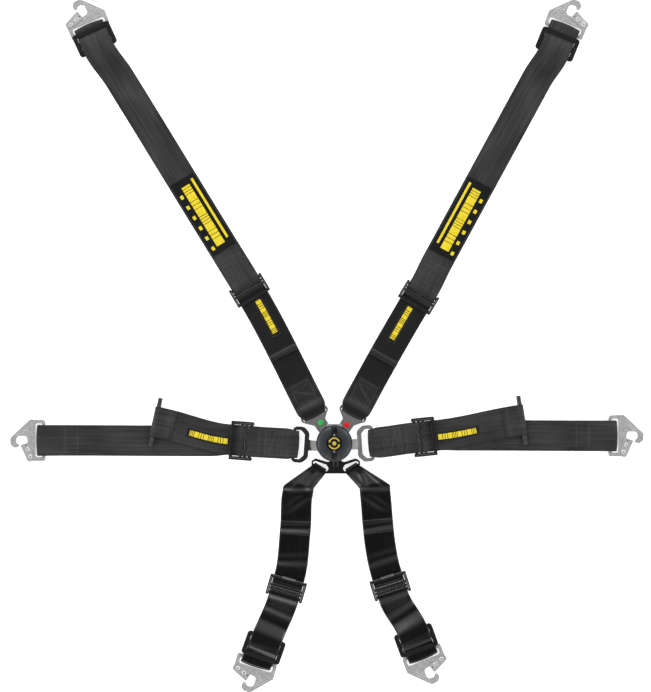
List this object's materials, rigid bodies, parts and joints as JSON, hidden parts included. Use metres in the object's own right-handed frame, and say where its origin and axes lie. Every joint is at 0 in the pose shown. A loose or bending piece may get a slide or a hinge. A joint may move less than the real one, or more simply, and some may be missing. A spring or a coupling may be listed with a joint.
{
  "type": "racing harness",
  "caption": "Flat-laid racing harness: a rotary cam buckle with shoulder, lap and crotch belts, each with an adjuster and a snap hook for an eye bolt.",
  "frame": {"origin": "centre of the flat back face of the rotary buckle", "axes": "+Z out of the buckle through its knob, +Y towards the shoulder belts, +X towards the right lap belt as seen from the front"},
  "size_m": [1.0308, 1.1281, 0.03],
  "materials": {
    "belt_webbing": "ribbed woven polyester webbing, matt",
    "crotch_webbing": "smooth woven polyester webbing, slight gloss",
    "black_steel": "black coated steel, semi-gloss",
    "zinc_plate": "zinc plated stamped steel, mottled",
    "tongue_steel": "satin steel",
    "housing_alloy": "cast and satin",
    "knob_alloy": "black anodised, satin",
    "gold_badge": "bright ring on a dark disc",
    "spring_steel": "bright spring steel",
    "rod_plastic": "black, matt",
    "label_patch": "sewn woven patch",
    "label_print": "woven yellow pattern",
    "marker_green": "painted mark",
    "marker_red": "painted mark"
  },
  "bodies": {
    "buckle": {"buckle_back_plate": "housing_alloy", "buckle_housing": "housing_alloy", "buckle_spindle": "tongue_steel", "knob_return_spring": "spring_steel", "lap_connector_left": "black_steel"},
    "knob": {"buckle_knob": "knob_alloy", "buckle_badge": "gold_badge"},
    "latch": {"latch_pin_plate": "tongue_steel"},
    "shoulder_left_tongue": {"shoulder_tongue_left": "tongue_steel"},
    "shoulder_right_tongue": {"shoulder_tongue_right": "tongue_steel"},
    "lap_right_tongue": {"lap_tongue_right": "tongue_steel"},
    "crotch_tongue": {"crotch_yoke": "black_steel"},
    "shoulder_left_inner_belt": {"shoulder_left_webbing_inner": "belt_webbing"},
    "shoulder_left_outer_belt": {"shoulder_left_adjuster_frame": "black_steel", "shoulder_left_lock_bar": "black_steel", "shoulder_left_webbing_tail": "belt_webbing", "shoulder_left_webbing_outer": "belt_webbing", "shoulder_left_three_bar_slide": "black_steel"},
    "shoulder_left_hook": {"shoulder_left_hook_plate": "zinc_plate"},
    "shoulder_left_gate": {"shoulder_left_hook_gate": "spring_steel"},
    "shoulder_right_inner_belt": {"shoulder_right_webbing_inner": "belt_webbing"},
    "shoulder_right_outer_belt": {"shoulder_right_adjuster_frame": "black_steel", "shoulder_right_lock_bar": "black_steel", "shoulder_right_webbing_tail": "belt_webbing", "shoulder_right_webbing_outer": "belt_webbing", "shoulder_right_three_bar_slide": "black_steel"},
    "shoulder_right_hook": {"shoulder_right_hook_plate": "zinc_plate"},
    "shoulder_right_gate": {"shoulder_right_hook_gate": "spring_steel"},
    "crotch_left_inner_belt": {"crotch_left_webbing_inner": "crotch_webbing"},
    "crotch_left_outer_belt": {"crotch_left_adjuster_frame": "black_steel", "crotch_left_lock_bar": "black_steel", "crotch_left_webbing_tail": "crotch_webbing", "crotch_left_webbing_outer": "crotch_webbing", "crotch_left_three_bar_slide": "black_steel"},
    "crotch_left_hook": {"crotch_left_hook_plate": "zinc_plate"},
    "crotch_left_gate": {"crotch_left_hook_gate": "spring_steel"},
    "crotch_right_inner_belt": {"crotch_right_webbing_inner": "crotch_webbing"},
    "crotch_right_outer_belt": {"crotch_right_adjuster_frame": "black_steel", "crotch_right_lock_bar": "black_steel", "crotch_right_webbing_tail": "crotch_webbing", "crotch_right_webbing_outer": "crotch_webbing", "crotch_right_three_bar_slide": "black_steel"},
    "crotch_right_hook": {"crotch_right_hook_plate": "zinc_plate"},
    "crotch_right_gate": {"crotch_right_hook_gate": "spring_steel"},
    "lap_left_short_belt": {"lap_left_webbing_short": "belt_webbing", "lap_left_pull_rod": "rod_plastic", "lap_left_adjuster_frame": "black_steel", "lap_left_lock_bar": "black_steel", "lap_left_webbing_tail": "belt_webbing"},
    "lap_left_long_belt": {"lap_left_webbing_long": "belt_webbing"},
    "lap_left_hook": {"lap_left_hook_plate": "zinc_plate"},
    "lap_left_gate": {"lap_left_hook_gate": "spring_steel"},
    "lap_right_short_belt": {"lap_right_webbing_short": "belt_webbing", "lap_right_pull_rod": "rod_plastic", "lap_right_adjuster_frame": "black_steel", "lap_right_lock_bar": "black_steel", "lap_right_webbing_tail": "belt_webbing"},
    "lap_right_long_belt": {"lap_right_webbing_long": "belt_webbing"},
    "lap_right_hook": {"lap_right_hook_plate": "zinc_plate"},
    "lap_right_gate": {"lap_right_hook_gate": "spring_steel"}
  },
  "joints": [
    {"name": "knob_turn", "type": "hinge", "parent": "buckle", "child": "knob", "pos_m": [0, 0, 0.02], "axis": [0, 0, 1], "range_deg": [0, 45], "stiffness_Nm_per_rad": 0.1},
    {"name": "latch_lift", "type": "slide", "parent": "buckle", "child": "latch", "axis": [0, 0, 1], "range_m": [0, 0.003]},
    {"name": "shoulder_left_tongue_release", "type": "slide", "parent": "buckle", "child": "shoulder_left_tongue", "axis": [-0.5736, 0.8192, 0], "range_m": [0, 0.025]},
    {"name": "shoulder_right_tongue_release", "type": "slide", "parent": "buckle", "child": "shoulder_right_tongue", "axis": [0.5592, 0.829, 0], "range_m": [0, 0.025]},
    {"name": "lap_right_tongue_release", "type": "slide", "parent": "buckle", "child": "lap_right_tongue", "axis": [0.9976, 0.0698, 0], "range_m": [0, 0.025]},
    {"name": "crotch_tongue_release", "type": "slide", "parent": "buckle", "child": "crotch_tongue", "axis": [0, -1, 0], "range_m": [0, 0.025]},
    {"name": "shoulder_left_swing", "type": "hinge", "parent": "shoulder_left_tongue", "child": "shoulder_left_inner_belt", "pos_m": [-0.0332, 0.0482, 0.00875], "axis": [0.887, 0.4617, 0], "range_deg": [0, 60]},
    {"name": "shoulder_left_adjust", "type": "slide", "parent": "shoulder_left_inner_belt", "child": "shoulder_left_outer_belt", "axis": [-0.5075, 0.8616, 0], "range_m": [-0.03, 0.08]},
    {"name": "shoulder_left_hook_swing", "type": "hinge", "parent": "shoulder_left_outer_belt", "child": "shoulder_left_hook", "pos_m": [-0.3962, 0.6703, 0.0046], "axis": [0.9171, 0.3987, 0], "range_deg": [0, 35]},
    {"name": "shoulder_left_gate_flex", "type": "hinge", "parent": "shoulder_left_hook", "child": "shoulder_left_gate", "pos_m": [-0.43707, 0.67652, 0.00645], "axis": [0.6431, -0.7658, 0], "range_deg": [0, 12], "stiffness_Nm_per_rad": 0.5},
    {"name": "shoulder_right_swing", "type": "hinge", "parent": "shoulder_right_tongue", "child": "shoulder_right_inner_belt", "pos_m": [0.0313, 0.0494, 0.00875], "axis": [0.8805, -0.4741, 0], "range_deg": [0, 60]},
    {"name": "shoulder_right_adjust", "type": "slide", "parent": "shoulder_right_inner_belt", "child": "shoulder_right_outer_belt", "axis": [0.512, 0.859, 0], "range_m": [-0.03, 0.08]},
    {"name": "shoulder_right_hook_swing", "type": "hinge", "parent": "shoulder_right_outer_belt", "child": "shoulder_right_hook", "pos_m": [0.37291, 0.67021, 0.0046], "axis": [0.9239, -0.3827, 0], "range_deg": [0, 80]},
    {"name": "shoulder_right_gate_flex", "type": "hinge", "parent": "shoulder_right_hook", "child": "shoulder_right_gate", "pos_m": [0.41367, 0.67714, 0.00645], "axis": [0.6296, 0.7769, 0], "range_deg": [0, 12], "stiffness_Nm_per_rad": 0.5},
    {"name": "crotch_left_swing", "type": "hinge", "parent": "crotch_tongue", "child": "crotch_left_inner_belt", "pos_m": [-0.0244, -0.0417, 0.00875], "axis": [-0.8526, 0.5225, 0], "range_deg": [0, 30]},
    {"name": "crotch_left_adjust", "type": "slide", "parent": "crotch_left_inner_belt", "child": "crotch_left_outer_belt", "axis": [-0.2756, -0.9613, 0], "range_m": [-0.02, 0.06]},
    {"name": "crotch_left_hook_swing", "type": "hinge", "parent": "crotch_left_outer_belt", "child": "crotch_left_hook", "pos_m": [-0.1253, -0.35332, 0.0046], "axis": [-0.9537, 0.3007, 0], "range_deg": [0, 80]},
    {"name": "crotch_left_gate_flex", "type": "hinge", "parent": "crotch_left_hook", "child": "crotch_left_gate", "pos_m": [-0.1653, -0.36377, 0.00645], "axis": [-0.5595, -0.8288, 0], "range_deg": [0, 12], "stiffness_Nm_per_rad": 0.5},
    {"name": "crotch_right_swing", "type": "hinge", "parent": "crotch_tongue", "child": "crotch_right_inner_belt", "pos_m": [0.0294, -0.0417, 0.00875], "axis": [-0.8526, -0.5225, 0], "range_deg": [0, 30]},
    {"name": "crotch_right_adjust", "type": "slide", "parent": "crotch_right_inner_belt", "child": "crotch_right_outer_belt", "axis": [0.3007, -0.9537, 0], "range_m": [-0.02, 0.06]},
    {"name": "crotch_right_hook_swing", "type": "hinge", "parent": "crotch_right_outer_belt", "child": "crotch_right_hook", "pos_m": [0.14191, -0.34101, 0.0046], "axis": [-0.9239, -0.3827, 0], "range_deg": [0, 80]},
    {"name": "crotch_right_gate_flex", "type": "hinge", "parent": "crotch_right_hook", "child": "crotch_right_gate", "pos_m": [0.18266, -0.34794, 0.00645], "axis": [-0.6296, 0.7769, 0], "range_deg": [0, 12], "stiffness_Nm_per_rad": 0.5},
    {"name": "lap_left_swing", "type": "hinge", "parent": "buckle", "child": "lap_left_short_belt", "pos_m": [-0.0661, -0.0021, 0.00875], "axis": [0.0698, 0.9976, 0], "range_deg": [0, 60]},
    {"name": "lap_left_adjust", "type": "slide", "parent": "lap_left_short_belt", "child": "lap_left_long_belt", "axis": [-0.9969, 0.0785, 0], "range_m": [-0.03, 0.08]},
    {"name": "lap_left_hook_swing", "type": "hinge", "parent": "lap_left_long_belt", "child": "lap_left_hook", "pos_m": [-0.4726, 0.0038, 0.0046], "axis": [0, 1, 0], "range_deg": [0, 80]},
    {"name": "lap_left_gate_flex", "type": "hinge", "parent": "lap_left_hook", "child": "lap_left_gate", "pos_m": [-0.4946, -0.0312, 0.00645], "axis": [0.9587, 0.2844, 0], "range_deg": [0, 12], "stiffness_Nm_per_rad": 0.5},
    {"name": "lap_right_swing", "type": "hinge", "parent": "lap_right_tongue", "child": "lap_right_short_belt", "pos_m": [0.0622, -0.0002, 0.00875], "axis": [0.0698, -0.9976, 0], "range_deg": [0, 60]},
    {"name": "lap_right_adjust", "type": "slide", "parent": "lap_right_short_belt", "child": "lap_right_long_belt", "axis": [0.9947, 0.1028, 0], "range_m": [-0.03, 0.08]},
    {"name": "lap_right_hook_swing", "type": "hinge", "parent": "lap_right_long_belt", "child": "lap_right_hook", "pos_m": [0.4488, 0.0112, 0.0046], "axis": [0, -1, 0], "range_deg": [0, 80]},
    {"name": "lap_right_gate_flex", "type": "hinge", "parent": "lap_right_hook", "child": "lap_right_gate", "pos_m": [0.4708, -0.0238, 0.00645], "axis": [0.9587, -0.2844, 0], "range_deg": [0, 12], "stiffness_Nm_per_rad": 0.5}
  ],
  "couplings": [
    {"joint": "latch_lift", "follows": "knob_turn", "m_per_rad": 0.0038197}
  ]
}
